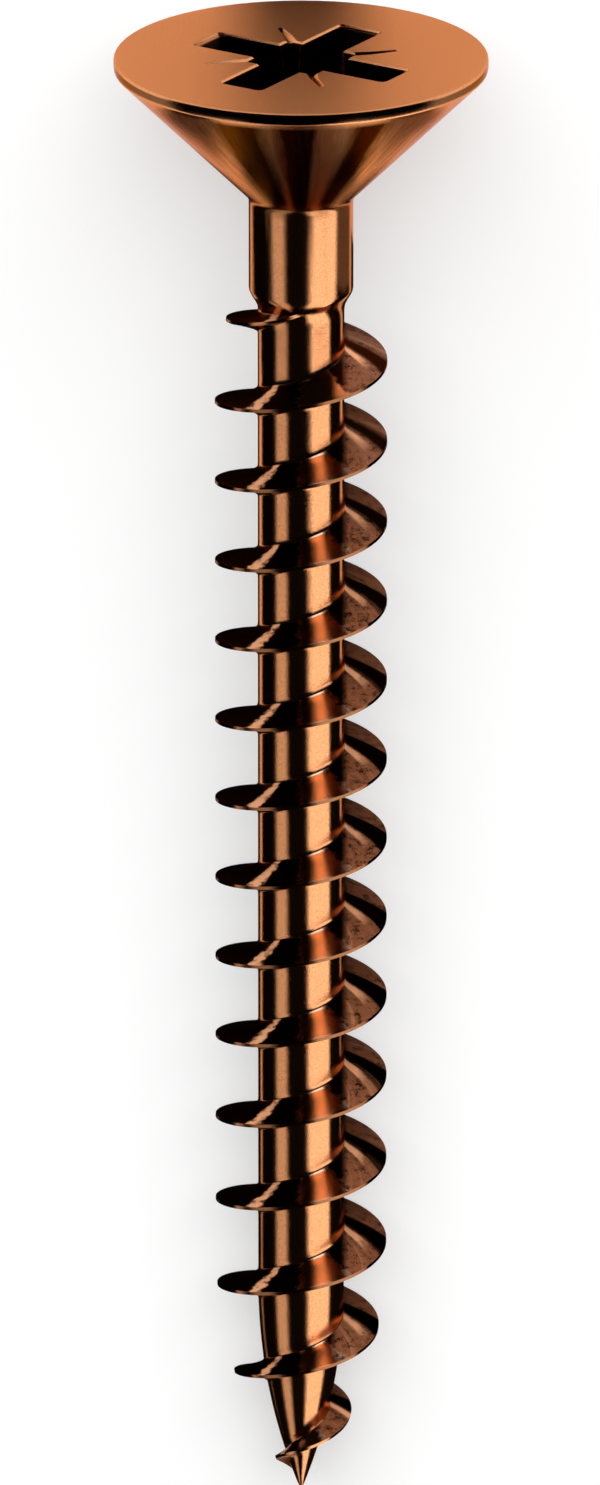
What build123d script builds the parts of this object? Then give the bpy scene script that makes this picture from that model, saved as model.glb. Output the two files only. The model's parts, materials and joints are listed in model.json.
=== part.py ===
from build123d import *

import os
from math import atan, cos, degrees, pi, radians, sin, sqrt, tan

# A chipboard screw, cold headed and thread rolled from one piece of steel wire.
# Millimetres and degrees. It is drawn upright, with the flat face of its head at height 0
# and its point down, so a depth is a distance down the axis from that face.

# Overall
OVERALL_LENGTH = 40.0

# Head: a flat face, a narrow upright land and a countersink that meets the shank
HEAD_DIAMETER = 9.8
LAND_HEIGHT = 0.28
COUNTERSINK_ANGLE = 90.0
EDGE_BREAK = 0.05
NECK_ROUNDING = 0.3

# Plain shank, and the short cone where it necks down to the core of the thread
SHANK_DIAMETER = 2.74
SHANK_END_DEPTH = 6.3
NECKING_LENGTH = 0.55
NECKING_ROUNDING = 0.2
CORE_DIAMETER = 2.27

# Gimlet point
POINT_LENGTH = 5.8
POINT_TIP_DIAMETER = 0.1

# Thread: one right-hand start, a steep ridge with a narrow crest
THREAD_DIAMETER = 4.54
THREAD_PITCH = 2.21
THREAD_START_BELOW_SHANK = 0.4
CREST_WIDTH = 0.15
FLANK_ANGLE = 15.0
RUN_IN_TURNS = 0.5
RUN_OUT_TURNS = 0.45

# Towards the point the crest curves in and the turns are stretched further apart
CREST_TAPER_LENGTH = 6.8
CREST_TIP_DIAMETER = 0.5
STRETCH_LENGTH = 13.85
STRETCH_PER_TURN = 0.07
RUN_OUT_ABOVE_TIP = 0.15

# Cross recess, type Z: four wings, a square pocket between them and a drilled centre below
WING_SPAN = 5.88
WING_WIDTH = 1.24
WING_DEPTH = 2.6
WING_SLOPE_ANGLE = 33.0
WING_CORNER_ROUNDING = 0.12
POCKET_SIDE = 2.12
POCKET_DEPTH = 2.1
POCKET_SLOPE_ANGLE = 8.0
CENTRE_DIAMETER = 2.0
CENTRE_ANGLE = 120.0
RECESS_TURN = 57.4

# Radial marks pressed into the face between the wings
MARK_END_RADIUS = 2.55
MARK_WIDTH = 0.24
MARK_DEPTH = 0.12

# How finely the thread is divided, and how far pieces reach into each other
STATIONS_PER_TURN = 36
OVERLAP = 0.3
OVERCUT = 0.2
SAME_PLACE = 1e-6

head_radius = HEAD_DIAMETER / 2
shank_radius = SHANK_DIAMETER / 2
core_radius = CORE_DIAMETER / 2
crest_radius = THREAD_DIAMETER / 2
core_start_depth = SHANK_END_DEPTH + NECKING_LENGTH
point_start_depth = OVERALL_LENGTH - POINT_LENGTH
head_height = LAND_HEIGHT + (head_radius - shank_radius) / tan(radians(COUNTERSINK_ANGLE / 2))
thread_start_depth = SHANK_END_DEPTH + THREAD_START_BELOW_SHANK
flank_slope = tan(radians(FLANK_ANGLE))


def tapered_radius(depth, length, full, tip):
    """A radius that stays full, then curves in to the tip over the last length of the screw."""
    into = min(depth, OVERALL_LENGTH) - (OVERALL_LENGTH - length)
    if into <= 0:
        return full
    drop = full - tip
    sweep = (drop**2 + length**2) / (2 * drop)
    return full - sweep + sqrt(sweep**2 - into**2)


def core_radius_at(depth):
    return tapered_radius(depth, POINT_LENGTH, core_radius, POINT_TIP_DIAMETER / 2)


def make_blank():
    """The headed wire down to where it necks, turned about the axis: head, shank and necking cone."""
    break_out = EDGE_BREAK * tan(radians(COUNTERSINK_ANGLE / 2))
    end_depth = core_start_depth + OVERLAP
    end_radius = core_radius - (shank_radius - core_radius) * OVERLAP / NECKING_LENGTH
    rim = [
        (0, 0, 0),
        (head_radius - EDGE_BREAK, 0, 0),
        (head_radius, 0, -EDGE_BREAK),
        (head_radius, 0, -LAND_HEIGHT + EDGE_BREAK),
        (head_radius - break_out, 0, -LAND_HEIGHT - EDGE_BREAK),
    ]
    side = FilletPolyline(
        rim[-1],
        (shank_radius, 0, -head_height),
        (shank_radius, 0, -SHANK_END_DEPTH),
        (end_radius, 0, -end_depth),
        radius=[NECK_ROUNDING, NECKING_ROUNDING],
    )
    close = Polyline((end_radius, 0, -end_depth), (0, 0, -end_depth), (0, 0, 0))
    return revolve(make_face([Polyline(*rim), side, close]), axis=Axis.Z)


# The thread's place is counted in turns, and in stations, of which each turn has the same number.
# It starts on the side that faces -Y and runs down clockwise, seen from the head, which makes it
# right-handed.

stretch_room = STRETCH_LENGTH - RUN_OUT_ABOVE_TIP
stretch_start_turn = (OVERALL_LENGTH - STRETCH_LENGTH - thread_start_depth) / THREAD_PITCH


def stations_in_thread():
    """Stations, to the nearest one, from the start of the thread to where it runs out."""
    end_pitch = sqrt(THREAD_PITCH**2 + 2 * STRETCH_PER_TURN * stretch_room)
    stretched = (end_pitch - THREAD_PITCH) / STRETCH_PER_TURN
    return round((stretch_start_turn + stretched) * STATIONS_PER_TURN)


station_count = stations_in_thread()
thread_turns = station_count / STATIONS_PER_TURN
stretched_turns = thread_turns - stretch_start_turn

# The stretch that puts the last station exactly where the thread runs out
stretch_per_turn = 2 * (stretch_room - THREAD_PITCH * stretched_turns) / stretched_turns**2


def thread_depth(turn):
    stretched = max(0, turn - stretch_start_turn)
    return thread_start_depth + THREAD_PITCH * turn + stretch_per_turn * stretched**2 / 2


def ridge_height(turn):
    """Height of the ridge above the core. It is nothing at either end."""
    depth = thread_depth(turn)
    crest = tapered_radius(depth, CREST_TAPER_LENGTH, crest_radius, CREST_TIP_DIAMETER / 2)
    run_in = sin(pi / 2 * min(1, turn / RUN_IN_TURNS))
    run_out = sin(pi / 2 * min(1, (thread_turns - turn) / RUN_OUT_TURNS))
    return (crest - core_radius_at(depth)) * min(run_in, run_out)


def crest_radius_at(turn):
    return core_radius_at(thread_depth(turn)) + ridge_height(turn)


def on_core(station, depth, height=0):
    """A point on the core, or at a height above it, in the direction of one station."""
    angle = -pi / 2 - 2 * pi * station / STATIONS_PER_TURN
    radius = core_radius_at(depth) + height
    return Vector(radius * cos(angle), radius * sin(angle), -depth)


def ridge_section(station):
    """Root, crest, crest and root of the ridge at one station, from the head towards the point."""
    turn = station / STATIONS_PER_TURN
    depth = thread_depth(turn)
    height = ridge_height(turn)
    crest_half = CREST_WIDTH / 2
    root_half = crest_half + height * flank_slope
    return [
        on_core(station, depth - root_half),
        on_core(station, depth - crest_half, height),
        on_core(station, depth + crest_half, height),
        on_core(station, depth + root_half),
    ]


def flat_face(*corners):
    return Face(Wire.make_polygon(corners, close=True))


def has_area(a, b, c):
    return min((a - b).length, (b - c).length, (c - a).length) > SAME_PLACE


def fan(first, *others):
    """Flat triangles that fill an outline from its first corner, without those that have no area."""
    triangles = [(first, *pair) for pair in zip(others, others[1:])]
    return [flat_face(*triangle) for triangle in triangles if has_area(*triangle)]


def strip(upper, lower):
    """Flat triangles between two rows of points, as far as the shorter row goes."""
    faces = []
    for corners in zip(upper, lower, lower[1:], upper[1:]):
        faces += fan(*corners)
    return faces


def make_threaded_length():
    """Core, point and ridge in one closed skin of flat facets, from inside the shank to the tip.

    The core between two turns runs from the lower root of one to the upper root of the next.
    """
    turn = STATIONS_PER_TURN
    last = station_count
    sections = [ridge_section(station) for station in range(last + 1)]
    upper_root, upper_crest, lower_crest, lower_root = zip(*sections)
    top = [on_core(station, SHANK_END_DEPTH - OVERLAP) for station in range(turn)]
    tip = [on_core(station, OVERALL_LENGTH) for station in range(last - turn + 1, last + 1)]

    faces = [flat_face(*top), flat_face(*tip)]
    faces += strip(upper_root, upper_crest)
    faces += strip(upper_crest, lower_crest)
    faces += strip(lower_crest, lower_root)
    faces += strip(top, upper_root[:turn])
    faces += strip(lower_root, upper_root[turn:])
    faces += strip(lower_root[-turn:], tip)

    # Where the first turn comes round to the start of the ridge, and the end to the turn above it
    start = (lower_root[0], upper_root[0])
    end = (upper_root[-1], lower_root[-1])
    faces += fan(top[-1], upper_root[turn - 1], upper_root[turn], *start, top[0])
    faces += fan(lower_root[-turn], lower_root[-turn - 1], *end, tip[-1], tip[0])
    return Solid(Shell(faces))


def wing_section(depth):
    length = WING_SPAN - 2 * depth * tan(radians(WING_SLOPE_ANGLE))
    return Plane.XY.offset(-depth) * RectangleRounded(length, WING_WIDTH, WING_CORNER_ROUNDING)


def pocket_section(depth):
    side = POCKET_SIDE - 2 * depth * tan(radians(POCKET_SLOPE_ANGLE))
    return Plane.XY.offset(-depth) * Rectangle(side, side)


def make_recess():
    """What the driver leaves: two crossed pairs of wings, the square pocket and a drilled centre."""
    wings = loft([wing_section(-OVERCUT), wing_section(WING_DEPTH)])
    pocket = loft([pocket_section(-OVERCUT), pocket_section(POCKET_DEPTH)])
    centre_height = CENTRE_DIAMETER / 2 / tan(radians(CENTRE_ANGLE / 2))
    centre = Pos(0, 0, -WING_DEPTH - centre_height / 2) * Cone(0, CENTRE_DIAMETER / 2, centre_height)
    return [Rot(0, 0, RECESS_TURN) * tool for tool in (wings, Rot(0, 0, 90) * wings, pocket, centre)]


def make_marks():
    """Four shallow V grooves that run outwards from the corners of the square pocket."""
    start = POCKET_SIDE / 2
    section = Polygon((-MARK_WIDTH / 2, 0), (MARK_WIDTH / 2, 0), (0, -MARK_DEPTH), align=None)
    groove = extrude(Plane.YZ.offset(start) * section, MARK_END_RADIUS - start)
    return [Rot(0, 0, RECESS_TURN + 45 + 90 * index) * groove for index in range(4)]


def lowest_crests():
    """Depth and radius of the crest at each turn on the side that faces +Y."""
    turns = [index + 0.5 for index in range(int(thread_turns))]
    return [(thread_depth(turn) + CREST_WIDTH / 2, crest_radius_at(turn)) for turn in turns]


def lying_tilt():
    """Angle between the axis and the surface when the rim and one crest of the thread touch it."""
    rim_depth = LAND_HEIGHT - EDGE_BREAK
    return min(atan((head_radius - radius) / (depth - rim_depth)) for depth, radius in lowest_crests())


def lay_down(upright):
    """Turned to lie along Y with its head towards +Y, over the middle of its own footprint."""
    turned = upright.rotate(Axis.X, degrees(lying_tilt()) - 90)
    box = turned.bounding_box()
    return turned.translate((-box.center().X, -box.center().Y, -box.min.Z))


def make_screw():
    headed = make_blank().cut(*make_recess(), *make_marks())
    return lay_down(headed.fuse(make_threaded_length()))


os.makedirs("parts", exist_ok=True)
export_step(make_screw(), "parts/screw.step")
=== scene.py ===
import json
from functools import partial
from math import cos, pi, radians, sin, sqrt, tan
from types import SimpleNamespace

import bmesh
import bpy
from mathutils import Matrix, Vector


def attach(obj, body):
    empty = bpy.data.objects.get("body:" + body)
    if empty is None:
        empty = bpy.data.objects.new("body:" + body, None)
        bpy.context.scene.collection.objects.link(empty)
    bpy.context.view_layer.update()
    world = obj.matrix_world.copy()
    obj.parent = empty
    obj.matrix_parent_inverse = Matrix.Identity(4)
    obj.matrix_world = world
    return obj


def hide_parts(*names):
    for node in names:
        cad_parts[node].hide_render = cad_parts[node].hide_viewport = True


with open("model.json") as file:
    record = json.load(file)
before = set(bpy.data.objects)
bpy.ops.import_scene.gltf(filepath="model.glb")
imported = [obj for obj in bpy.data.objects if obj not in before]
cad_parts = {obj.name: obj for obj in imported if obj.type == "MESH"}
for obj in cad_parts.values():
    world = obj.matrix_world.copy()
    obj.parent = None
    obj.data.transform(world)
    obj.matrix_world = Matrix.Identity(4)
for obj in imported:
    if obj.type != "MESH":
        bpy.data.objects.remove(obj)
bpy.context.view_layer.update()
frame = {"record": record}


# Threaded length: the core of the wire, the one right-hand ridge rolled up out of it and the
# gimlet point that both run out into. It is steel, and die rolling leaves its crest narrow,
# its root rounded and its turns stretched further apart towards the point.

# Millimetres, with the screw upright and its face at height 0, so a depth is below the face
thread_sizes = {
    "Overall length": 40.0,
    "Top depth": 6.3,
    "Shank radius": 1.37,
    "Necking length": 0.55,
    "Core radius": 1.135,
    "Point length": 5.8,
    "Point tip radius": 0.05,
    "Thread start": 6.7,
    "Pitch": 2.21,
    "Stretch length": 13.85,
    "Stretch per turn": 0.07,
    "Above tip": 0.15,
    "Crest radius": 2.27,
    "Crest taper length": 6.8,
    "Crest tip radius": 0.25,
    "Crest width": 0.09,
    "Crest rounding": 0.04,
    "Flank slope": tan(radians(15)),
    "Root rounding": 0.4,
    "Run-in turns": 0.5,
    "Run-out turns": 0.45,
}

# The sheet of points that becomes the skin, and the shares of its half width that lie over the
# crest and down to the foot of the flank
STATIONS_PER_TURN = 72
PROFILE_POINTS = 43
CREST_SHARE = 0.14
FLANK_SHARE = 0.72
FLANK_REACH = 1.25
NECK_END = 0.999
TIP_MARGIN = 0.0005
WELD_DISTANCE = 0.001


def turns_in_thread(sizes):
    """Turns before the pitch starts to stretch, and turns in all."""
    even_length = sizes["Overall length"] - sizes["Stretch length"] - sizes["Thread start"]
    even_turns = even_length / sizes["Pitch"]
    room = sizes["Stretch length"] - sizes["Above tip"]
    end_pitch = sqrt(sizes["Pitch"] ** 2 + 2 * sizes["Stretch per turn"] * room)
    return even_turns, even_turns + (end_pitch - sizes["Pitch"]) / sizes["Stretch per turn"]


thread_sizes["Even turns"], thread_sizes["Turns"] = turns_in_thread(thread_sizes)


def calculate(tree, operation, *values):
    """One Math node in a tree. Each value is a socket or a plain number."""
    node = tree.nodes.new("ShaderNodeMath")
    node.operation = operation
    for socket, value in zip(node.inputs, values):
        if isinstance(value, bpy.types.NodeSocket):
            tree.links.new(value, socket)
        else:
            socket.default_value = value
    return node.outputs[0]


def ramp(tree, value, low, high, interpolation="LINEAR"):
    """How far a value has come from one limit to another, from 0 to 1."""
    node = tree.nodes.new("ShaderNodeMapRange")
    node.interpolation_type = interpolation
    node.inputs["From Min"].default_value = low
    node.inputs["From Max"].default_value = high
    tree.links.new(value, node.inputs["Value"])
    return node.outputs["Result"]


def make_thread_tree():
    """A sheet of points, along the thread by across its profile, laid round the core and closed."""
    tree = bpy.data.node_groups.new("rolled_thread", "GeometryNodeTree")
    tree.interface.new_socket("Geometry", in_out="OUTPUT", socket_type="NodeSocketGeometry")
    for name in ("Stations per turn", "Stations", "Profile points"):
        tree.interface.new_socket(name, in_out="INPUT", socket_type="NodeSocketInt")
    for name in thread_sizes:
        tree.interface.new_socket(name, in_out="INPUT", socket_type="NodeSocketFloat")
    tree.interface.new_socket("Material", in_out="INPUT", socket_type="NodeSocketMaterial")
    sizes = tree.nodes.new("NodeGroupInput").outputs
    calc = partial(calculate, tree)

    # Where each point stands: its turn, counted from one turn before the thread starts, and its
    # place across the profile, from -1 above the ridge to 1 below it
    sheet = tree.nodes.new("GeometryNodeMeshGrid")
    tree.links.new(sizes["Stations"], sheet.inputs["Vertices X"])
    tree.links.new(sizes["Profile points"], sheet.inputs["Vertices Y"])
    index = tree.nodes.new("GeometryNodeInputIndex").outputs[0]
    station = calc("FLOOR", calc("DIVIDE", calc("ADD", index, 0.5), sizes["Profile points"]))
    column = calc("SUBTRACT", index, calc("MULTIPLY", station, sizes["Profile points"]))
    turn = calc("SUBTRACT", calc("DIVIDE", station, sizes["Stations per turn"]), 1.0)
    last_column = calc("SUBTRACT", sizes["Profile points"], 1.0)
    across = calc("SUBTRACT", calc("DIVIDE", calc("MULTIPLY", column, 2.0), last_column), 1.0)
    side = calc("SIGN", across)
    reach = calc("ABSOLUTE", across)

    def depth_of(turn):
        """Depth of the ridge's middle: an even pitch, then a steadily stretched one."""
        stretched = calc("MAXIMUM", calc("SUBTRACT", turn, sizes["Even turns"]), 0.0)
        half_growth = calc("MULTIPLY", sizes["Stretch per turn"], 0.5)
        growth = calc("MULTIPLY", calc("MULTIPLY", stretched, stretched), half_growth)
        return calc("ADD", calc("MULTIPLY_ADD", turn, sizes["Pitch"], sizes["Thread start"]), growth)

    def tapered(depth, length, full, tip):
        """A radius that stays full, then curves in to the tip over the last length of the screw."""
        start = calc("SUBTRACT", sizes["Overall length"], length)
        into = calc("SUBTRACT", calc("MINIMUM", depth, sizes["Overall length"]), start)
        into = calc("MAXIMUM", into, 0.0)
        drop = calc("SUBTRACT", full, tip)
        squares = calc("ADD", calc("MULTIPLY", drop, drop), calc("MULTIPLY", length, length))
        sweep = calc("DIVIDE", squares, calc("MULTIPLY", drop, 2.0))
        left = calc("SUBTRACT", calc("MULTIPLY", sweep, sweep), calc("MULTIPLY", into, into))
        return calc("ADD", calc("SUBTRACT", full, sweep), calc("SQRT", left))

    def core_at(depth):
        return tapered(depth, sizes["Point length"], sizes["Core radius"], sizes["Point tip radius"])

    # Height of the ridge at this turn, which swells from nothing and runs out to nothing
    here = depth_of(turn)
    run_in = calc("DIVIDE", turn, sizes["Run-in turns"])
    run_out = calc("DIVIDE", calc("SUBTRACT", sizes["Turns"], turn), sizes["Run-out turns"])
    swell = calc("MINIMUM", calc("MINIMUM", run_in, run_out), 1.0)
    swell = calc("SINE", calc("MULTIPLY", calc("MAXIMUM", swell, 0.0), pi / 2))
    crest = tapered(here, sizes["Crest taper length"], sizes["Crest radius"], sizes["Crest tip radius"])
    height = calc("MULTIPLY", calc("SUBTRACT", crest, core_at(here)), swell)

    # How far this point is from the ridge's middle: close steps over the crest's edge and the
    # root, wide ones over the plain core, which ends halfway to the next turn
    beside = depth_of(calc("ADD", turn, side))
    half_gap = calc("MULTIPLY", calc("ABSOLUTE", calc("SUBTRACT", beside, here)), 0.5)
    crest_half = calc("MULTIPLY", sizes["Crest width"], 0.5)
    run = calc("MULTIPLY", calc("MULTIPLY", height, sizes["Flank slope"]), FLANK_REACH)
    rest = calc("SUBTRACT", calc("SUBTRACT", half_gap, crest_half), run)
    away = calc("MULTIPLY", ramp(tree, reach, 0.0, CREST_SHARE), crest_half)
    away = calc("MULTIPLY_ADD", ramp(tree, reach, CREST_SHARE, FLANK_SHARE, "SMOOTHSTEP"), run, away)
    away = calc("MULTIPLY_ADD", ramp(tree, reach, FLANK_SHARE, 1.0), rest, away)
    depth = calc("MULTIPLY_ADD", side, away, here)
    depth = calc("MINIMUM", calc("MAXIMUM", depth, sizes["Top depth"]), sizes["Overall length"])

    # The ridge's profile: a crest with rounded edges, steep flanks and a rounded root
    past_crest = calc("MAXIMUM", calc("SUBTRACT", away, crest_half), 0.0)
    flank = calc("SUBTRACT", height, calc("DIVIDE", past_crest, sizes["Flank slope"]))
    crested = calc("SMOOTH_MIN", flank, height, calc("MINIMUM", sizes["Crest rounding"], height))
    rooted = calc("SMOOTH_MAX", crested, 0.0, calc("MULTIPLY", height, sizes["Root rounding"]))

    # Round the core, under the cone where the shank necks down
    neck_way = calc("DIVIDE", calc("SUBTRACT", depth, sizes["Top depth"]), sizes["Necking length"])
    neck_way = ramp(tree, neck_way, 0.0, 1.0, "SMOOTHSTEP")
    necking = calc("SUBTRACT", sizes["Shank radius"], sizes["Core radius"])
    neck = calc("SUBTRACT", sizes["Shank radius"], calc("MULTIPLY", necking, neck_way))
    neck = calc("MULTIPLY", neck, calc("LESS_THAN", neck_way, NECK_END))
    radius = calc("MAXIMUM", neck, calc("ADD", core_at(depth), rooted))
    short_of_tip = calc("LESS_THAN", depth, calc("SUBTRACT", sizes["Overall length"], TIP_MARGIN))
    radius = calc("MULTIPLY", radius, short_of_tip)
    angle = calc("MULTIPLY_ADD", calc("FLOORED_MODULO", turn, 1.0), -2 * pi, -pi / 2)

    place = tree.nodes.new("ShaderNodeCombineXYZ")
    tree.links.new(calc("MULTIPLY", radius, calc("COSINE", angle)), place.inputs["X"])
    tree.links.new(calc("MULTIPLY", radius, calc("SINE", angle)), place.inputs["Y"])
    tree.links.new(calc("MULTIPLY", depth, -1.0), place.inputs["Z"])
    lay = tree.nodes.new("GeometryNodeSetPosition")
    tree.links.new(sheet.outputs["Mesh"], lay.inputs["Geometry"])
    tree.links.new(place.outputs[0], lay.inputs["Position"])

    # Neighbouring turns share their edges, and everything past either end folds into it
    weld = tree.nodes.new("GeometryNodeMergeByDistance")
    weld.inputs["Distance"].default_value = WELD_DISTANCE
    whole = tree.nodes.new("GeometryNodeRealizeInstances")
    paint = tree.nodes.new("GeometryNodeSetMaterial")
    output = tree.nodes.new("NodeGroupOutput")
    tree.links.new(lay.outputs[0], weld.inputs[0])
    tree.links.new(weld.outputs[0], whole.inputs[0])
    tree.links.new(whole.outputs[0], paint.inputs["Geometry"])
    tree.links.new(sizes["Material"], paint.inputs["Material"])
    tree.links.new(paint.outputs[0], output.inputs[0])
    return tree


def roll_thread(material):
    """The threaded length as a plain mesh."""
    tree = make_thread_tree()
    carrier = bpy.data.objects.new("rolled_thread", bpy.data.meshes.new("rolled_thread"))
    bpy.context.scene.collection.objects.link(carrier)
    modifier = carrier.modifiers.new("rolled_thread", "NODES")
    modifier.node_group = tree
    values = dict(thread_sizes)
    values["Stations per turn"] = STATIONS_PER_TURN
    values["Stations"] = round((thread_sizes["Turns"] + 2) * STATIONS_PER_TURN)
    values["Profile points"] = PROFILE_POINTS
    values["Material"] = material
    for socket in tree.interface.items_tree:
        if socket.in_out == "INPUT":
            modifier[socket.identifier] = values[socket.name]
    evaluated = carrier.evaluated_get(bpy.context.evaluated_depsgraph_get())
    mesh = bpy.data.meshes.new_from_object(evaluated)
    bpy.data.objects.remove(carrier)
    return mesh


# Head and plain shank: cold headed from the same steel wire. A flat face with a softly broken rim,
# a narrow upright land, a countersink of 90 degrees and a short plain shank. All are round about
# the screw's axis, and the shank ends in the ring where the threaded length begins.

# Millimetres, with the screw upright as before
HEAD_RADIUS = 4.9
LAND_HEIGHT = 0.28
RIM_ROUNDING = 0.07
RIM_INSET = 0.4
NECK_ROUNDING = 0.3
ARC_STEPS = 4


def rounded(corners, rounding):
    """A line through corners, (radius, depth) each, with an arc in place of each inner corner."""
    points = [corners[0]]
    for before, corner, after, radius in zip(corners, corners[1:], corners[2:], rounding):
        arrive = (Vector(before) - Vector(corner)).normalized()
        leave = (Vector(after) - Vector(corner)).normalized()
        half = arrive.angle(leave) / 2
        middle = Vector(corner) + (arrive + leave).normalized() * radius / sin(half)
        start = (Vector(corner) + arrive * radius / tan(half) - middle).normalized()
        end = (Vector(corner) + leave * radius / tan(half) - middle).normalized()
        for step in range(ARC_STEPS + 1):
            points.append(tuple(middle + start.slerp(end, step / ARC_STEPS) * radius))
    return points + [corners[-1]]


def headed_profile():
    shank_radius = thread_sizes["Shank radius"]
    cone_end = LAND_HEIGHT + HEAD_RADIUS - shank_radius
    corners = [(HEAD_RADIUS - RIM_INSET, 0), (HEAD_RADIUS, 0), (HEAD_RADIUS, LAND_HEIGHT)]
    corners += [(shank_radius, cone_end), (shank_radius, thread_sizes["Top depth"])]
    return rounded(corners, [RIM_ROUNDING, RIM_ROUNDING, NECK_ROUNDING])


def closed_mesh(name, work):
    """The finished mesh of a bmesh, with its faces turned outwards."""
    bmesh.ops.recalc_face_normals(work, faces=work.faces)
    mesh = bpy.data.meshes.new(name)
    work.to_mesh(mesh)
    work.free()
    return mesh


def turn_blank():
    """Head and shank as one closed solid, with as many sides as the threaded length."""
    work = bmesh.new()
    rings = []
    for radius, depth in headed_profile():
        ring = []
        for station in range(STATIONS_PER_TURN):
            angle = -pi / 2 - 2 * pi * station / STATIONS_PER_TURN
            ring.append(work.verts.new((radius * cos(angle), radius * sin(angle), -depth)))
        rings.append(ring)
    for upper, lower in zip(rings, rings[1:]):
        for side in range(STATIONS_PER_TURN):
            work.faces.new((upper[side], upper[side - 1], lower[side - 1], lower[side]))
    work.faces.new(rings[0])
    work.faces.new(rings[-1])
    return closed_mesh("headed_blank", work)


# Cross recess, type Z: the punch leaves two crossed pairs of tapering wings, a square pocket
# between them, a drilled centre below and four short radial marks between the wings. The metal
# is drawn in a little round its mouth, and each mark is a wedge that narrows outwards.

# Millimetres, apart from the turn and the slopes
RECESS_TURN = radians(57.4)
WING_SPAN = 5.88
WING_WIDTH = 1.24
WING_DEPTH = 2.6
WING_SLOPE = tan(radians(33))
WING_CORNER = 0.12
POCKET_SIDE = 2.12
POCKET_DEPTH = 2.1
POCKET_SLOPE = tan(radians(8))
POCKET_CORNER = 0.06
CENTRE_RADIUS = 1.0
CENTRE_TIP_RADIUS = 0.02
CENTRE_SLOPE = tan(radians(60))
CENTRE_SIDES = 32
MARK_END = 2.55
MARK_INNER_WIDTH = 0.36
MARK_OUTER_WIDTH = 0.12
MARK_FLOOR_WIDTH = 0.02
MARK_DEPTH = 0.1
MOUTH_EDGE = 0.05
OVERCUT = 0.2


def rounded_outline(length, width, corner):
    """The corners of a rectangle about the axis, each a small arc."""
    outline = []
    for quarter, (x_side, y_side) in enumerate([(1, 1), (-1, 1), (-1, -1), (1, -1)]):
        x = x_side * (length / 2 - corner)
        y = y_side * (width / 2 - corner)
        for step in range(ARC_STEPS + 1):
            angle = pi / 2 * (quarter + step / ARC_STEPS)
            outline.append((x + corner * cos(angle), y + corner * sin(angle)))
    return outline


def wing_outline(depth, wider=0):
    length = WING_SPAN - 2 * depth * WING_SLOPE + 2 * wider
    return rounded_outline(length, WING_WIDTH + 2 * wider, WING_CORNER + wider)


def pocket_outline(depth, wider=0):
    side = POCKET_SIDE - 2 * depth * POCKET_SLOPE + 2 * wider
    return rounded_outline(side, side, POCKET_CORNER + wider)


def circle_outline(radius):
    angles = [2 * pi * side / CENTRE_SIDES for side in range(CENTRE_SIDES)]
    return [(radius * cos(angle), radius * sin(angle)) for angle in angles]


def mark_outline(inner_half, outer_half):
    start = POCKET_SIDE / 2
    return [(start, -inner_half), (MARK_END, -outer_half), (MARK_END, outer_half), (start, inner_half)]


def punch(upper, upper_depth, lower, lower_depth, turned):
    """A closed tool between two outlines of as many points, turned about the screw's axis."""
    work = bmesh.new()
    top = [work.verts.new((x, y, -upper_depth)) for x, y in upper]
    bottom = [work.verts.new((x, y, -lower_depth)) for x, y in lower]
    for side in range(len(top)):
        work.faces.new((top[side - 1], top[side], bottom[side], bottom[side - 1]))
    work.faces.new(top)
    work.faces.new(bottom)
    bmesh.ops.rotate(work, cent=(0, 0, 0), matrix=Matrix.Rotation(turned, 3, "Z"), verts=work.verts)
    return closed_mesh("punch", work)


def recess_punches():
    mouth = OVERCUT + MOUTH_EDGE
    centre_depth = WING_DEPTH + CENTRE_RADIUS / CENTRE_SLOPE
    centre_tip = circle_outline(CENTRE_TIP_RADIUS)
    wings = (wing_outline(-OVERCUT), -OVERCUT, wing_outline(WING_DEPTH), WING_DEPTH)
    wings_mouth = (wing_outline(0, mouth), -OVERCUT, wing_outline(0), MOUTH_EDGE)
    pocket = (pocket_outline(-OVERCUT), -OVERCUT, pocket_outline(POCKET_DEPTH), POCKET_DEPTH)
    pocket_mouth = (pocket_outline(0, mouth), -OVERCUT, pocket_outline(0), MOUTH_EDGE)
    centre = (circle_outline(CENTRE_RADIUS), WING_DEPTH, centre_tip, centre_depth)
    tools = [punch(*shape, RECESS_TURN) for shape in (wings, wings_mouth, pocket, pocket_mouth, centre)]
    return tools + [punch(*shape, RECESS_TURN + pi / 2) for shape in (wings, wings_mouth)]


def mark_punches():
    """Tools that reach as far above the face as below it, and are twice as wide there as in it."""
    upper = mark_outline(MARK_INNER_WIDTH, MARK_OUTER_WIDTH)
    lower = mark_outline(MARK_FLOOR_WIDTH / 2, MARK_FLOOR_WIDTH / 2)
    turned = [RECESS_TURN + pi / 4 + pi / 2 * index for index in range(4)]
    return [punch(upper, -MARK_DEPTH, lower, MARK_DEPTH, angle) for angle in turned]


def cut(mesh, tools):
    """The mesh less each of the tools, one after the other."""
    body = bpy.data.objects.new("cut_body", mesh)
    tool = bpy.data.objects.new("cut_tool", tools[0])
    for thing in (body, tool):
        bpy.context.scene.collection.objects.link(thing)
    for tool_mesh in tools:
        tool.data = tool_mesh
        modifier = body.modifiers.new("cut", "BOOLEAN")
        modifier.operation = "DIFFERENCE"
        modifier.solver = "EXACT"
        modifier.object = tool
        evaluated = body.evaluated_get(bpy.context.evaluated_depsgraph_get())
        result = bpy.data.meshes.new_from_object(evaluated)
        body.modifiers.clear()
        body.data = result
    bpy.data.objects.remove(body)
    bpy.data.objects.remove(tool)
    return result


headed_mesh = cut(turn_blank(), recess_punches() + mark_punches())


# Plating: a thin glossy coat of bronze colour over the steel, deposited after heading and
# rolling. It is bright on the head, the shank, the core and on a sector of the flanks that lies up
# and to the right, where the metal is painted paler. Black is painted as shade inside the recess
# and on the crest and land, and as dark reflections on the other flanks and in bands across the
# cone under the head. Mottled brown oxide on the flanks is partly a finish and partly painted.

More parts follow.
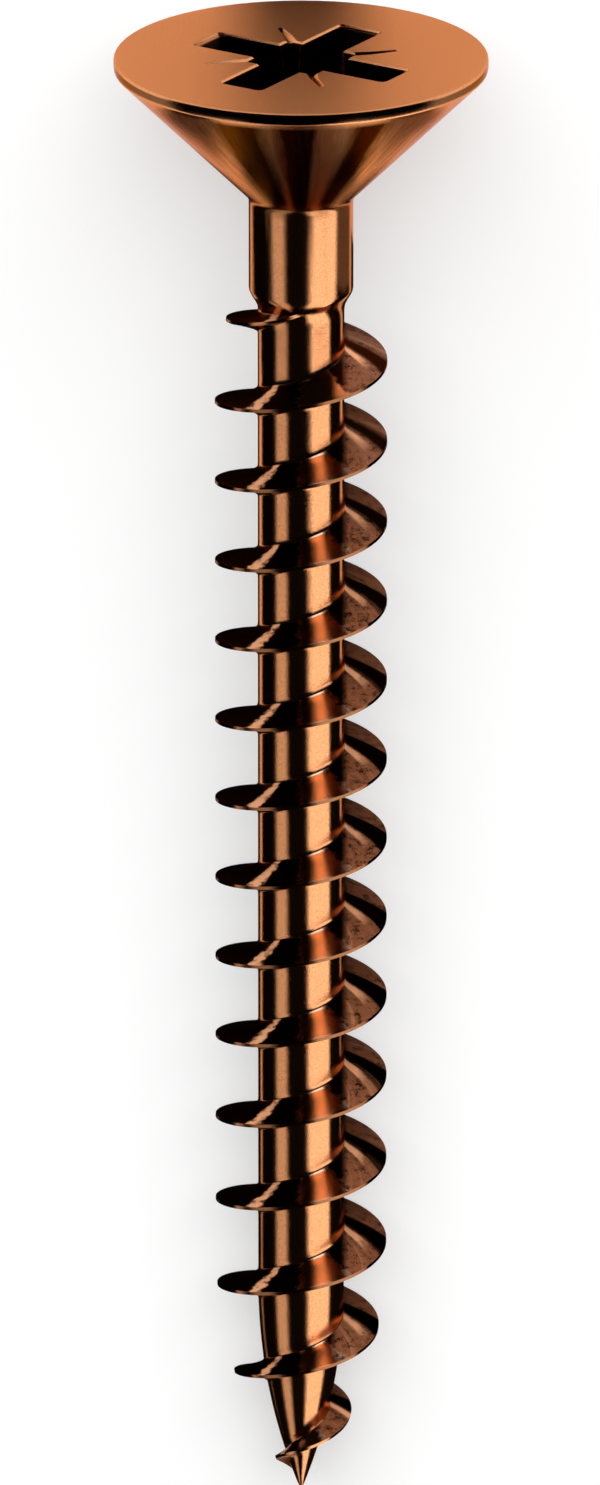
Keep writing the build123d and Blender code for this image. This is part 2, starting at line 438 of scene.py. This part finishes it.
BRONZE = (0.86, 0.378, 0.165)
DEEP_BRONZE = (0.58, 0.20, 0.075)
BRIGHT_SECTOR_METAL = (0.92, 0.72, 0.58)
# Black for painted shade and painted dark reflections
BLACK_PAINTED_SHADE = (0.010, 0.005, 0.004)
BROWN_OXIDE = (0.26, 0.088, 0.038)
TAN_OXIDE = (0.95, 0.44, 0.22)
EDGE_TINT = (0.88, 0.52, 0.40)

# Millimetres over which each stretch of the screw starts or ends: depths, then radii. A flank is
# told from the core and the crest by how squarely it faces along the axis, from 0 to 1.
FACE_END = (0.0, 0.04)
LAND_START = (0.05, 0.08)
LAND_END = (0.22, 0.27)
CONE_START = (0.3, 0.5)
CONE_END = (3.5, 4.1)
RECESS_START = (0.03, 0.12)
THREAD_START = (6.6, 6.9)
LAND_FROM_AXIS = (4.7, 4.85)
CREST_FROM_AXIS = (1.6, 1.9)
FLANK_STEEPNESS = (0.35, 0.75)

# The recess lies inside a cone about the axis. Its inside is painted black as shade, apart from
# the corners of its pocket, which keep their bronze and catch highlights
RECESS_REACH = 3.05
RECESS_TAPER = 0.62
UNSHADED_CORNER = (0.04, 0.10)
UNSHADED_CORNER_DEPTH = 1.6

# Places round the axis: a middle and a half width in degrees from the side that lies up towards
# the right, and how far the edge is blurred. Outside the bright sector the flanks are painted black
# as dark reflections; the black band and the two tan streaks are painted reflections.
BRIGHT_FLANK_SECTOR = (17, 17, 4)
PAINTED_LEFT_STREAK = (-34, 4.5, 3)
PAINTED_BLACK_BAND = (106, 11, 4)
PAINTED_RIGHT_STREAK = (87, 5, 3)
PAINTED_STREAK_END = (1.5, 1.9)
SWIRL_PER_MM = radians(24)
EDGE_STRAY = 3
NEAR_AXIS = 0.001

# Brown oxide, partly a finish and partly painted reflection, lies on the right-hand flanks: it
# starts beside the core, and nearer to the axis where the core narrows to the point. Its pale rays
# are painted glints
BROWN_START = (1.05, 1.25)
BROWN_NARROWS_FROM = 33.5
BROWN_NARROWING = 0.15
BROWN_BLOTCHES = (0.48, 0.60)
BROWN_DULLNESS = 0.8
GRAIN_IN_BLOTCHES = 0.5
MOTTLE_IN_BLOTCHES = 0.5
RAYS_IN_BLOTCHES = 0.2
PAINTED_GLINTS = (0.56, 0.74)
PAINTED_GLINT_SHARE = 0.4

# How far grain and streaks deepen the bronze, and how dark the crest and the land are painted,
# as painted shade
DEEP_GRAIN = (0.42, 0.75)
DEEP_STREAKS = (0.45, 0.70)
CREST_PAINTED_SHADE = 0.6
LAND_PAINTED_SHADE = 0.75

# How much rays, streaks and the painted bands on the cone change with each millimetre of depth
RAY_DRIFT = 0.02
STREAK_DRIFT = 0.03
BAND_DRIFT = 0.05

# Roughness of the bright coat, and what is added to it by the grain and on each rougher finish
BRIGHT_ROUGHNESS = 0.07
GRAIN_ROUGHNESS = 0.08
OXIDE_ROUGHNESS = 0.25
FACE_ROUGHNESS = 0.3
STREAK_ROUGHNESS = 0.2

# How strongly the grain bends the gloss, its depth in millimetres, and how much deeper streaks are
GRAIN_BUMP = 0.25
GRAIN_DEPTH = 0.01
STREAK_TO_GRAIN = 2.0

# Dark bands painted across the cone under the head, as painted reflections: a place across the
# cone, from -1 to 1, and how dark it is there. They fade out where the cone turns away from the
# side that lies up.
CONE_PAINTED_BANDS = (
    (-0.62, 0.0), (-0.46, 0.9), (-0.27, 1.0), (-0.19, 0.6), (-0.11, 1.0), (0.06, 1.0),
    (0.12, 0.6), (0.26, 0.6), (0.34, 1.0), (0.48, 1.0), (0.58, 0.0),
)
BAND_STRAY = 0.08
BANDED_SIDE = (0.3, 0.6)

# The record's drive recess gives the middle of the face and the way that it faces
mm = 0.001
mount = next(m for m in frame["record"]["mounts"] if m["name"] == "drive_recess")
out = Vector(mount["axis"])


def blended(tree, share, plain, other):
    """One colour where the share is 0 and another where it is 1. Each is a socket or a colour."""
    node = tree.nodes.new("ShaderNodeMix")
    node.data_type = "RGBA"
    tree.links.new(share, node.inputs["Factor"])
    for name, value in (("A", plain), ("B", other)):
        socket = next(s for s in node.inputs if s.name == name and s.type == "RGBA")
        if isinstance(value, bpy.types.NodeSocket):
            tree.links.new(value, socket)
        else:
            socket.default_value = (*value, 1)
    return next(s for s in node.outputs if s.type == "RGBA")


def combined(tree, x, y, z):
    """A vector from its three parts. Each is a socket or a plain number."""
    node = tree.nodes.new("ShaderNodeCombineXYZ")
    for socket, value in zip(node.inputs, (x, y, z)):
        if isinstance(value, bpy.types.NodeSocket):
            tree.links.new(value, socket)
        else:
            socket.default_value = value
    return node.outputs[0]


def separated(tree, vector):
    node = tree.nodes.new("ShaderNodeSeparateXYZ")
    tree.links.new(vector, node.inputs[0])
    return tuple(node.outputs)


def aligned(tree, vector, direction):
    """How nearly a vector points in a fixed direction, from -1 to 1."""
    node = tree.nodes.new("ShaderNodeVectorMath")
    node.operation = "DOT_PRODUCT"
    node.inputs[1].default_value = direction
    tree.links.new(vector, node.inputs[0])
    return node.outputs["Value"]


def noise(tree, vector, scale, detail, roughness):
    node = tree.nodes.new("ShaderNodeTexNoise")
    node.inputs["Scale"].default_value = scale
    node.inputs["Detail"].default_value = detail
    node.inputs["Roughness"].default_value = roughness
    tree.links.new(vector, node.inputs["Vector"])
    return node.outputs["Fac"]


def near_angle(tree, way, place, stray):
    """1 where a direction round the axis is near a place and 0 away from it, with a ragged edge."""
    middle, half, blur = place
    low, high = cos(radians(half + blur)), cos(radians(half - blur))
    nearness = aligned(tree, way, (sin(radians(middle)), -cos(radians(middle)), 0))
    off = calculate(tree, "SUBTRACT", stray, 0.5)
    ragged = calculate(tree, "MULTIPLY_ADD", off, (high - low) * EDGE_STRAY, nearness)
    return ramp(tree, ragged, low, high, "SMOOTHSTEP")


def places_on_screw(tree):
    """Where a point of the skin is on the upright screw, in millimetres, and how steep it is."""
    calc = partial(calculate, tree)
    at = SimpleNamespace()
    coordinates = tree.nodes.new("ShaderNodeTexCoord")
    upright = tree.nodes.new("ShaderNodeMapping")
    upright.vector_type = "TEXTURE"
    upright.inputs["Location"].default_value = mount["pos_m"]
    upright.inputs["Rotation"].default_value = (-out.angle(Vector((0, 0, 1))), 0, 0)
    upright.inputs["Scale"].default_value = (mm, mm, mm)
    tree.links.new(coordinates.outputs["Object"], upright.inputs["Vector"])
    at.place = upright.outputs[0]
    at.x, at.y, height = separated(tree, at.place)
    at.depth = calc("MULTIPLY", height, -1.0)
    at.radius = calc("SQRT", calc("ADD", calc("MULTIPLY", at.x, at.x), calc("MULTIPLY", at.y, at.y)))

    # The way from the axis, plain and turned further with each millimetre out from the core
    from_axis = calc("MAXIMUM", at.radius, NEAR_AXIS)
    at.round_x = calc("DIVIDE", at.x, from_axis)
    at.round_y = calc("DIVIDE", at.y, from_axis)
    at.way = combined(tree, at.round_x, at.round_y, 0.0)
    swirl = tree.nodes.new("ShaderNodeVectorRotate")
    swirl.rotation_type = "Z_AXIS"
    off_core = calc("SUBTRACT", at.radius, thread_sizes["Core radius"])
    tree.links.new(at.way, swirl.inputs["Vector"])
    tree.links.new(calc("MULTIPLY", off_core, SWIRL_PER_MM), swirl.inputs["Angle"])
    at.swirled = swirl.outputs[0]

    geometry = tree.nodes.new("ShaderNodeNewGeometry")
    at.steep = calc("ABSOLUTE", aligned(tree, geometry.outputs["Normal"], out))
    return at


def painted_shade_in_recess(tree, at):
    """Painted shade: 1 inside the recess, apart from the corners of its pocket, which keep their bronze,
    and 0 elsewhere.
    """
    calc = partial(calculate, tree)
    tapered = calc("MULTIPLY_ADD", at.depth, RECESS_TAPER, at.radius)
    inside = calc("LESS_THAN", tapered, RECESS_REACH)
    turn_x, turn_y = cos(RECESS_TURN), sin(RECESS_TURN)
    along = calc("ABSOLUTE", calc("ADD", calc("MULTIPLY", at.x, turn_x), calc("MULTIPLY", at.y, turn_y)))
    athwart = calc("SUBTRACT", calc("MULTIPLY", at.y, turn_x), calc("MULTIPLY", at.x, turn_y))
    athwart = calc("ABSOLUTE", athwart)
    pocket_wall = calc("MULTIPLY_ADD", at.depth, -POCKET_SLOPE, POCKET_SIDE / 2)
    from_pocket = calc("ABSOLUTE", calc("SUBTRACT", calc("MAXIMUM", along, athwart), pocket_wall))
    from_wing = calc("ABSOLUTE", calc("SUBTRACT", calc("MINIMUM", along, athwart), WING_WIDTH / 2))
    off_corner = ramp(tree, calc("MAXIMUM", from_pocket, from_wing), *UNSHADED_CORNER)
    corner = calc("SUBTRACT", 1.0, off_corner)
    corner = calc("MULTIPLY", corner, calc("LESS_THAN", at.depth, UNSHADED_CORNER_DEPTH))
    dark = calc("MULTIPLY", inside, ramp(tree, at.depth, *RECESS_START, "SMOOTHSTEP"))
    return calc("MULTIPLY", dark, calc("SUBTRACT", 1.0, corner))


def flank_oxide_and_painted_reflections(tree, at, grain, mottle):
    """The flanks' colour, and where it is brown: black as painted dark reflection, brown oxide mottled on
    one side, partly painted, and a painted tan streak on either.
    """
    calc = partial(calculate, tree)
    swirled_x, swirled_y, _ = separated(tree, at.swirled)
    ray_place = combined(tree, swirled_x, swirled_y, calc("MULTIPLY", at.depth, RAY_DRIFT))
    rays = noise(tree, ray_place, scale=6.0, detail=5.0, roughness=0.7)
    blotches = calc("MULTIPLY", rays, RAYS_IN_BLOTCHES)
    blotches = calc("MULTIPLY_ADD", mottle, MOTTLE_IN_BLOTCHES, blotches)
    blotches = calc("MULTIPLY_ADD", grain, GRAIN_IN_BLOTCHES, blotches)
    into_point = calc("MAXIMUM", calc("SUBTRACT", at.depth, BROWN_NARROWS_FROM), 0.0)
    past_core = ramp(tree, calc("MULTIPLY_ADD", into_point, BROWN_NARROWING, at.x), *BROWN_START)
    brown = calc("MULTIPLY", ramp(tree, blotches, *BROWN_BLOTCHES, "SMOOTHSTEP"), past_core)
    off_band = calc("SUBTRACT", 1.0, near_angle(tree, at.swirled, PAINTED_BLACK_BAND, rays))
    brown = calc("MULTIPLY", brown, off_band)

    near_core = calc("SUBTRACT", 1.0, ramp(tree, at.radius, *PAINTED_STREAK_END))
    painted_streak = calc("MULTIPLY", near_angle(tree, at.swirled, PAINTED_RIGHT_STREAK, rays), near_core)
    painted_streak = calc("MAXIMUM", painted_streak, near_angle(tree, at.way, PAINTED_LEFT_STREAK, mottle))
    brown = calc("MAXIMUM", brown, painted_streak)
    painted_glint = calc("MULTIPLY", ramp(tree, rays, *PAINTED_GLINTS), PAINTED_GLINT_SHARE)
    colour = blended(tree, calc("MAXIMUM", painted_streak, painted_glint), BROWN_OXIDE, TAN_OXIDE)
    return blended(tree, brown, BLACK_PAINTED_SHADE, colour), brown


def painted_bands_on_cone(tree, at):
    """How dark the painted reflection bands are that run down the side of the cone that lies up."""
    calc = partial(calculate, tree)
    band_place = combined(tree, at.round_x, at.round_y, calc("MULTIPLY", at.depth, BAND_DRIFT))
    stray = noise(tree, band_place, scale=7.0, detail=4.0, roughness=0.7)
    shades = tree.nodes.new("ShaderNodeValToRGB")
    stops = shades.color_ramp.elements
    stops[0].position, stops[1].position = 0.0, 1.0
    stops[0].color = stops[1].color = (0, 0, 0, 1)
    for place, shade in CONE_PAINTED_BANDS:
        stops.new((place + 1) / 2).color = (shade, shade, shade, 1)
    middle = calc("MULTIPLY_ADD", stray, BAND_STRAY, (1 - BAND_STRAY) / 2)
    tree.links.new(calc("MULTIPLY_ADD", at.round_x, 0.5, middle), shades.inputs["Fac"])
    up_side = ramp(tree, calc("MULTIPLY", at.round_y, -1.0), *BANDED_SIDE)
    return calc("MULTIPLY", shades.outputs["Color"], up_side)


def make_plating():
    material = bpy.data.materials.new("bronze_plating")
    material.use_nodes = True
    tree = material.node_tree
    shader = tree.nodes["Principled BSDF"]
    shader.inputs["Specular Tint"].default_value = (*EDGE_TINT, 1)
    calc = partial(calculate, tree)
    at = places_on_screw(tree)

    def between(value, start, end):
        """1 between two places on the screw and 0 outside them."""
        return calc("MULTIPLY", ramp(tree, value, *start), calc("SUBTRACT", 1.0, ramp(tree, value, *end)))

    # Stretches of the screw: its flat face, land and cone, and the thread's flanks and crest
    face = calc("SUBTRACT", 1.0, ramp(tree, at.depth, *FACE_END))
    land = between(at.depth, LAND_START, LAND_END)
    land = calc("MULTIPLY", land, ramp(tree, at.radius, *LAND_FROM_AXIS))
    cone = between(at.depth, CONE_START, CONE_END)
    on_thread = ramp(tree, at.depth, *THREAD_START)
    flank = calc("MULTIPLY", ramp(tree, at.steep, *FLANK_STEEPNESS, "SMOOTHSTEP"), on_thread)
    crest = calc("MULTIPLY", ramp(tree, at.radius, *CREST_FROM_AXIS), calc("SUBTRACT", on_thread, flank))

    # Fine grain, mottling, and streaks that run down the cone
    grain = noise(tree, at.place, scale=28.0, detail=3.0, roughness=0.7)
    mottle = noise(tree, at.place, scale=5.0, detail=4.0, roughness=0.65)
    streak_place = combined(tree, at.round_x, at.round_y, calc("MULTIPLY", at.depth, STREAK_DRIFT))
    streaks = noise(tree, streak_place, scale=34.0, detail=2.0, roughness=0.6)
    cone_streaks = calc("MULTIPLY", cone, streaks)

    # Painted shade and painted dark reflections: the recess, the bands across the cone, the land, the
    # crest, and the flanks outside the bright sector
    recess = painted_shade_in_recess(tree, at)
    cone_bands = calc("MULTIPLY", painted_bands_on_cone(tree, at), cone)
    dark_crest = calc("MULTIPLY", crest, CREST_PAINTED_SHADE)
    dark = calc("MAXIMUM", cone_bands, calc("MAXIMUM", dark_crest, calc("MULTIPLY", land, LAND_PAINTED_SHADE)))
    # The bright sector, where the flanks keep paler reflecting metal; elsewhere they are painted dark
    bright_sector = near_angle(tree, at.way, BRIGHT_FLANK_SECTOR, mottle)
    dull = calc("MULTIPLY", flank, calc("SUBTRACT", 1.0, bright_sector))
    oxide, brown = flank_oxide_and_painted_reflections(tree, at, grain, mottle)

    colour = blended(tree, ramp(tree, grain, *DEEP_GRAIN), BRONZE, DEEP_BRONZE)
    deep_streaks = calc("MULTIPLY", cone, ramp(tree, streaks, *DEEP_STREAKS))
    colour = blended(tree, deep_streaks, colour, DEEP_BRONZE)
    # Paler metal painted on the bright sector of the flanks, for brighter reflections
    colour = blended(tree, calc("MULTIPLY", flank, bright_sector), colour, BRIGHT_SECTOR_METAL)
    # Black painted shade on the land and crest, and the painted reflection bands on the cone
    colour = blended(tree, dark, colour, BLACK_PAINTED_SHADE)
    # Flanks outside the bright sector: painted dark reflections, brown oxide and painted streaks
    colour = blended(tree, dull, colour, oxide)
    # Black painted shade inside the recess
    colour = blended(tree, recess, colour, BLACK_PAINTED_SHADE)
    tree.links.new(colour, shader.inputs["Base Color"])

    metal = calc("SUBTRACT", 1.0, calc("MULTIPLY", dull, calc("MULTIPLY", brown, BROWN_DULLNESS)))
    tree.links.new(metal, shader.inputs["Metallic"])

    rough = calc("MULTIPLY_ADD", grain, GRAIN_ROUGHNESS, BRIGHT_ROUGHNESS)
    rough = calc("MULTIPLY_ADD", calc("MAXIMUM", dull, recess), OXIDE_ROUGHNESS, rough)
    rough = calc("MULTIPLY_ADD", face, FACE_ROUGHNESS, rough)
    rough = calc("MULTIPLY_ADD", cone_streaks, STREAK_ROUGHNESS, rough)
    tree.links.new(rough, shader.inputs["Roughness"])

    bump = tree.nodes.new("ShaderNodeBump")
    bump.inputs["Strength"].default_value = GRAIN_BUMP
    bump.inputs["Distance"].default_value = GRAIN_DEPTH * mm
    tree.links.new(calc("MULTIPLY_ADD", cone_streaks, STREAK_TO_GRAIN, grain), bump.inputs["Height"])
    tree.links.new(bump.outputs[0], shader.inputs["Normal"])
    return material


plating = make_plating()


# The whole screw, in one skin: its headed end and its threaded end are the same wire, so they
# meet in one ring of points on the shank. It lies as it comes to rest, on the rim of its head and
# one crest, with its axis and the middle of its face those of the drive recess.

SHARP_EDGE = radians(35)
FLAT_FACE = 0.9999


def join_ends(headed, threaded):
    work = bmesh.new()
    work.from_mesh(headed)
    top = thread_sizes["Top depth"]
    seam = [face for face in work.faces if all(abs(v.co.z + top) < WELD_DISTANCE for v in face.verts)]
    bmesh.ops.delete(work, geom=seam, context="FACES_ONLY")
    work.from_mesh(threaded)
    bmesh.ops.remove_doubles(work, verts=work.verts, dist=WELD_DISTANCE)
    return closed_mesh("screw_body", work)


def placed(x_axis, y_axis, z_axis, origin):
    """The matrix that sets a thing down with its three axes and its origin as given."""
    columns = (*x_axis, 0), (*y_axis, 0), (*z_axis, 0), (*origin, 1)
    return Matrix(columns).transposed()


right = Vector((1, 0, 0))
screw_mesh = join_ends(headed_mesh, roll_thread(plating))
screw_mesh.materials.clear()
screw_mesh.materials.append(plating)
screw_mesh.transform(placed(right * mm, out.cross(right) * mm, out * mm, mount["pos_m"]))
screw_mesh.shade_smooth()
screw_mesh.set_sharp_from_angle(angle=SHARP_EDGE)
for polygon in screw_mesh.polygons:
    polygon.use_smooth = polygon.normal.dot(out) < FLAT_FACE
screw = bpy.data.objects.new("screw_body", screw_mesh)
bpy.context.scene.collection.objects.link(screw)
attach(screw, "root")
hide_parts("screw")


# Floor: a wide sheet of matt white paper that the screw lies on. It glows half as bright as white
# wherever it is seen, by eye or in the metal, so that it is pale and still takes a shadow.

FLOOR_HALF = 6.0
PAPER_SHADE = 0.55
PAPER_GLOW = 0.5
MATT = 0.9


def rectangle(across, along):
    """The corners of a rectangle in order, from its two pairs of limits."""
    return [(across[0], along[0]), (across[1], along[0]), (across[1], along[1]), (across[0], along[1])]


def flat_sheet(name, corners, material):
    """A flat sheet through four corners, in metres."""
    mesh = bpy.data.meshes.new(name)
    mesh.from_pydata(corners, [], [(0, 1, 2, 3)])
    mesh.materials.append(material)
    sheet = bpy.data.objects.new(name, mesh)
    bpy.context.scene.collection.objects.link(sheet)
    return sheet


def matt_material(name, shade):
    """A matt material in one shade of grey, and its shader."""
    material = bpy.data.materials.new(name)
    material.use_nodes = True
    shader = material.node_tree.nodes["Principled BSDF"]
    shader.inputs["Base Color"].default_value = (shade, shade, shade, 1)
    shader.inputs["Roughness"].default_value = MATT
    return material, shader


def seen(tree):
    """1 for what is seen straight, in a gloss or through glass, and 0 for the rest of the light."""
    rays = tree.nodes.new("ShaderNodeLightPath").outputs
    straight_or_gloss = calculate(tree, "MAXIMUM", rays["Is Camera Ray"], rays["Is Glossy Ray"])
    return calculate(tree, "MAXIMUM", straight_or_gloss, rays["Is Transmission Ray"])


paper, paper_shader = matt_material("white_paper", PAPER_SHADE)
paper_shader.inputs["Emission Color"].default_value = (1, 1, 1, 1)
glow = calculate(paper.node_tree, "MULTIPLY", seen(paper.node_tree), PAPER_GLOW)
paper.node_tree.links.new(glow, paper_shader.inputs["Emission Strength"])
floor_reach = (-FLOOR_HALF, FLOOR_HALF)
floor = flat_sheet("floor", [(x, y, 0) for x, y in rectangle(floor_reach, floor_reach)], paper)


# Camera: above the lying screw and a little towards its head, aimed at the middle of its length.
# It stands far off and has a long lens, so that the screw's two ends are seen at one scale.

VIEW_FROM_SQUARE = radians(19.6)
CAMERA_DISTANCE = 640 * mm
LENS = 588.3
SENSOR_WIDTH = 36
SHIFT_ASIDE = -0.0007
SHIFT_UP = 0.0246
NEAREST_SEEN = 0.01
FARTHEST_SEEN = 100

face_middle = Vector(mount["pos_m"])
screw_middle = face_middle - out * thread_sizes["Overall length"] * mm / 2
square = right.cross(out)
toward = square * cos(VIEW_FROM_SQUARE) + out * sin(VIEW_FROM_SQUARE)
camera_data = bpy.data.cameras.new("camera")
camera_data.lens = LENS
camera_data.sensor_width = SENSOR_WIDTH
camera_data.sensor_fit = "AUTO"
camera_data.shift_x = SHIFT_ASIDE
camera_data.shift_y = SHIFT_UP
camera_data.clip_start = NEAREST_SEEN
camera_data.clip_end = FARTHEST_SEEN
camera = bpy.data.objects.new("camera", camera_data)
bpy.context.scene.collection.objects.link(camera)
camera_place = screw_middle + toward * CAMERA_DISTANCE
camera.matrix_world = placed(right, toward.cross(right), toward, camera_place)
bpy.context.scene.camera = camera


# Lamps: a softbox on the right, with a wing that stops short of the shank, and a dim strip light
# on the left, all three along the screw. A wide lamp overhead lights the floor and the dull oxide,
# and leaves the gloss alone.

LAMP_DISTANCE = 60 * mm
OVERHEAD_BRIGHTNESS = 3.8
OVERHEAD_WIDTH = radians(70)
OVERHEAD_LEAN = radians(-38)


def studio_lamp(name, angles, depths, brightness):
    """A flat lamp beside the screw that a bar along the axis faces between two angles, to the right
    of square. The bar mirrors it to the camera at half of each, and between two depths."""
    middle_angle = radians(sum(angles)) / 2
    aside = square * cos(middle_angle) + right * sin(middle_angle)
    lamp_data = bpy.data.lights.new(name, "AREA")
    lamp_data.shape = "RECTANGLE"
    lamp_data.size = 2 * LAMP_DISTANCE * tan(radians(angles[1] - angles[0]) / 2)
    lamp_data.size_y = (depths[1] - depths[0]) * mm
    lamp_data.energy = brightness * pi * lamp_data.size * lamp_data.size_y
    depth = sum(depths) / 2 * mm + LAMP_DISTANCE * tan(VIEW_FROM_SQUARE)
    place = face_middle + aside * LAMP_DISTANCE - out * depth
    lamp = bpy.data.objects.new(name, lamp_data)
    bpy.context.scene.collection.objects.link(lamp)
    lamp.matrix_world = placed(aside.cross(out), -out, aside, place)
    lamp.visible_camera = False
    lamp.visible_diffuse = False


studio_lamp("softbox", angles=(27, 86), depths=(3, 170), brightness=1.5)
studio_lamp("softbox_wing", angles=(19, 27), depths=(13, 170), brightness=1.5)
studio_lamp("strip_light", angles=(-69, -38), depths=(3, 170), brightness=0.7)

overhead_data = bpy.data.lights.new("overhead", "SUN")
overhead_data.energy = OVERHEAD_BRIGHTNESS
overhead_data.angle = OVERHEAD_WIDTH
overhead = bpy.data.objects.new("overhead", overhead_data)
bpy.context.scene.collection.objects.link(overhead)
overhead.rotation_euler = (OVERHEAD_LEAN, 0, 0)
overhead.visible_glossy = False


# Cards: two black ones stand beside the thread, a black and a grey one stand further out for the
# shank to mirror, and three lie on the floor as beds. Only the metal mirrors them, which keeps it
# dark between the highlights. The bed before the head's face is dark only down its middle, a
# painted shade that the face mirrors.

# Millimetres: the first three from the screw's axis and face, the others in the frame's directions
CARD_ASIDE = 3.2
CARD_DEPTHS = (7, 46)
CARD_HEIGHTS = (-1.4, 1.2)
SHANK_CARD_ASIDE = 5.6
SHANK_CARD_LENGTH = (9.5, 15)
SHANK_CARD_HEIGHTS = (0, 5.7)
BED_HEIGHT = 0.02
BED_START = -26
GRADED_START = 0.4
GRADED_END = 2.9

BLACK_SHADE = 0.01
GREY_SHADE = 0.4
GRADED_MIDDLE = (0.12, 0.12, 0.12)
GRADED_EDGES = (0.95, 0.95, 0.95)


def mirrored_card(name, corners, material):
    """A card that the metal mirrors, and that is not seen by eye and throws no shadow."""
    card = flat_sheet(name, corners, material)
    card.visible_camera = False
    card.visible_diffuse = False
    card.visible_shadow = False
    return card


def make_graded():
    """A matt grey that is dark down the middle of the frame and pale to either side: painted shade for
    the head's face to mirror.
    """
    material, shader = matt_material("graded_card", GREY_SHADE)
    tree = material.node_tree
    coordinates = tree.nodes.new("ShaderNodeTexCoord")
    x, _, _ = separated(tree, coordinates.outputs["Object"])
    aside = calculate(tree, "ABSOLUTE", x)
    share = ramp(tree, aside, GRADED_START * mm, GRADED_END * mm, "SMOOTHSTEP")
    tree.links.new(blended(tree, share, GRADED_MIDDLE, GRADED_EDGES), shader.inputs["Base Color"])
    return material


black, black_shader = matt_material("black_card", BLACK_SHADE)
black_shader.inputs["Specular IOR Level"].default_value = 0.0
grey, _ = matt_material("grey_card", GREY_SHADE)
graded = make_graded()

for name, side in (("left_card", -1), ("right_card", 1)):
    corners = []
    for depth, above in rectangle(CARD_DEPTHS, CARD_HEIGHTS):
        corners.append(face_middle + (right * side * CARD_ASIDE + square * above - out * depth) * mm)
    card = mirrored_card(name, corners, black)

for name, side, material in (("left_shank_card", -1, black), ("right_shank_card", 1, grey)):
    outline = rectangle(SHANK_CARD_LENGTH, SHANK_CARD_HEIGHTS)
    corners = [(side * SHANK_CARD_ASIDE * mm, y * mm, z * mm) for y, z in outline]
    card = mirrored_card(name, corners, material)

for name, across, along, material in (
    ("left_bed", (-3.6, -1.0), (BED_START, 15.5), black),
    ("right_bed", (1.0, 4.2), (BED_START, 13.5), black),
    ("head_bed", (-4.9, 4.9), (19.0, 30), graded),
):
    corners = [(x * mm, y * mm, BED_HEIGHT * mm) for x, y in rectangle(across, along)]
    bed = mirrored_card(name, corners, material)


# Room: nearly dark above the horizon, so that the metal is black between its highlights. Below
# it, what is seen past the edge of the floor is about as white as the floor.

HORIZON = 0.03
DARK_ROOM = 0.004

world = bpy.data.worlds.new("studio")
bpy.context.scene.world = world
world.use_nodes = True
room = world.node_tree
directions = room.nodes.new("ShaderNodeTexCoord")
_, _, rise = separated(room, directions.outputs["Generated"])
below = calculate(room, "MULTIPLY", calculate(room, "LESS_THAN", rise, HORIZON), seen(room))
background = room.nodes["Background"]
background.inputs["Color"].default_value = (1, 1, 1, 1)
room.links.new(calculate(room, "MAXIMUM", below, DARK_ROOM), background.inputs["Strength"])

bpy.context.scene.view_settings.view_transform = "Standard"
